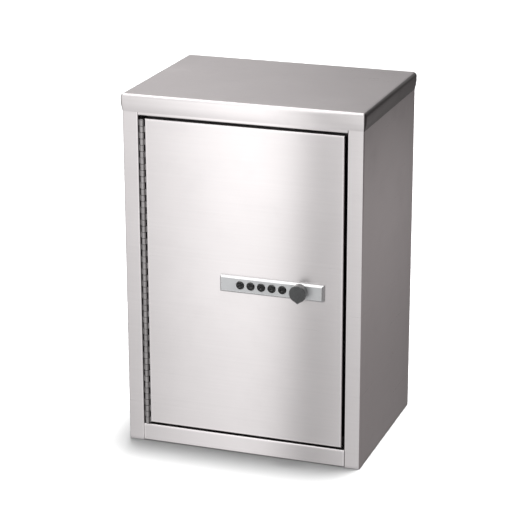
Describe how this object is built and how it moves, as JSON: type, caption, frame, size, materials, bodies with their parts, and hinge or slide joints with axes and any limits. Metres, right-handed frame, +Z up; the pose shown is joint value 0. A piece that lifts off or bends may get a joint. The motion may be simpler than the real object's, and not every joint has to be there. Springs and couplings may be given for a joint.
{
  "type": "combination lock security cabinet",
  "caption": "Small brushed-steel security cabinet with an inset door on a piano hinge and a mechanical push-button lock with a turning knob.",
  "frame": {"origin": "centre of the cabinet's footprint, on the surface it stands on", "axes": "+Z up, the door faces -Y, +X to the right of someone facing the door"},
  "size_m": [0.2618, 0.1997, 0.381],
  "materials": {
    "brushed_steel": "brushed stainless sheet",
    "inner_steel": "plain mill-finish sheet",
    "hinge_steel": "drawn stainless steel",
    "rivet_steel": "set rivet, satin",
    "lock_face": "satin chromate face",
    "zinc_plate": "zinc-plated steel",
    "cast_block": "die-cast block",
    "spring_steel": "spring wire",
    "knob_grey": "dark slate satin paint",
    "button_black": "black, worn satin",
    "rubber": "soft black rubber"
  },
  "bodies": {
    "cabinet": {"top_cap": "brushed_steel", "left_side_panel": "brushed_steel", "right_side_panel": "brushed_steel", "header_rail": "brushed_steel", "bottom_pan": "brushed_steel", "back_panel": "brushed_steel", "hinge_leaf_frame": "hinge_steel", "hinge_pin": "hinge_steel", "hinge_rivets_frame": "rivet_steel", "strike_plate": "inner_steel", "strike_rivets": "rivet_steel", "shelf_standard_left_front": "inner_steel", "shelf_standard_left_rear": "inner_steel", "shelf_standard_right_front": "inner_steel", "shelf_standard_right_rear": "inner_steel", "shelf_clips_lower": "zinc_plate", "shelf_lower": "inner_steel", "shelf_clips_upper": "zinc_plate", "shelf_upper": "inner_steel", "door_bumpers_foot": "rubber", "door_bumpers_head": "rubber"},
    "door": {"door_skin": "brushed_steel", "door_stiffener": "inner_steel", "hinge_leaf_door": "hinge_steel", "hinge_rivets_door": "rivet_steel", "lock_faceplate": "lock_face", "faceplate_screws": "zinc_plate", "lock_case": "zinc_plate", "lock_case_studs": "zinc_plate", "lock_case_nuts": "zinc_plate", "code_chamber": "cast_block", "bolt_guide_rivet": "rivet_steel", "change_plug": "zinc_plate", "button_spring_1": "spring_steel", "button_spring_2": "spring_steel", "button_spring_3": "spring_steel", "button_spring_4": "spring_steel", "button_spring_5": "spring_steel"},
    "knob": {"knob": "knob_grey", "knob_spindle": "zinc_plate", "spindle_clip": "zinc_plate", "latch_cam": "zinc_plate", "cam_peg": "zinc_plate"},
    "latch": {"latch_bolt": "zinc_plate"},
    "button_1": {"button_1": "button_black"},
    "button_2": {"button_2": "button_black"},
    "button_3": {"button_3": "button_black"},
    "button_4": {"button_4": "button_black"},
    "button_5": {"button_5": "button_black"}
  },
  "joints": [
    {"name": "door_hinge", "type": "hinge", "parent": "cabinet", "child": "door", "pos_m": [-0.1085, -0.0921, 0.18725], "axis": [0, 0, -1], "range_deg": [0, 135]},
    {"name": "knob_turn", "type": "hinge", "parent": "door", "child": "knob", "pos_m": [0.0638, -0.0975, 0.1891], "axis": [0, 1, 0], "range_deg": [0, 90]},
    {"name": "latch_slide", "type": "slide", "parent": "door", "child": "latch", "axis": [1, 0, 0], "range_m": [0, 0.0118]},
    {"name": "button_1_press", "type": "slide", "parent": "door", "child": "button_1", "axis": [0, 1, 0], "range_m": [0, 0.0025], "stiffness_N_per_m": 300, "springref_m": -0.003, "deforming": ["button_spring_1"]},
    {"name": "button_2_press", "type": "slide", "parent": "door", "child": "button_2", "axis": [0, 1, 0], "range_m": [0, 0.0025], "stiffness_N_per_m": 300, "springref_m": -0.003, "deforming": ["button_spring_2"]},
    {"name": "button_3_press", "type": "slide", "parent": "door", "child": "button_3", "axis": [0, 1, 0], "range_m": [0, 0.0025], "stiffness_N_per_m": 300, "springref_m": -0.003, "deforming": ["button_spring_3"]},
    {"name": "button_4_press", "type": "slide", "parent": "door", "child": "button_4", "axis": [0, 1, 0], "range_m": [0, 0.0025], "stiffness_N_per_m": 300, "springref_m": -0.003, "deforming": ["button_spring_4"]},
    {"name": "button_5_press", "type": "slide", "parent": "door", "child": "button_5", "axis": [0, 1, 0], "range_m": [0, 0.0025], "stiffness_N_per_m": 300, "springref_m": -0.003, "deforming": ["button_spring_5"]}
  ],
  "couplings": [
    {"joint": "latch_slide", "follows": "knob_turn", "m_per_rad": 0.0074726}
  ]
}
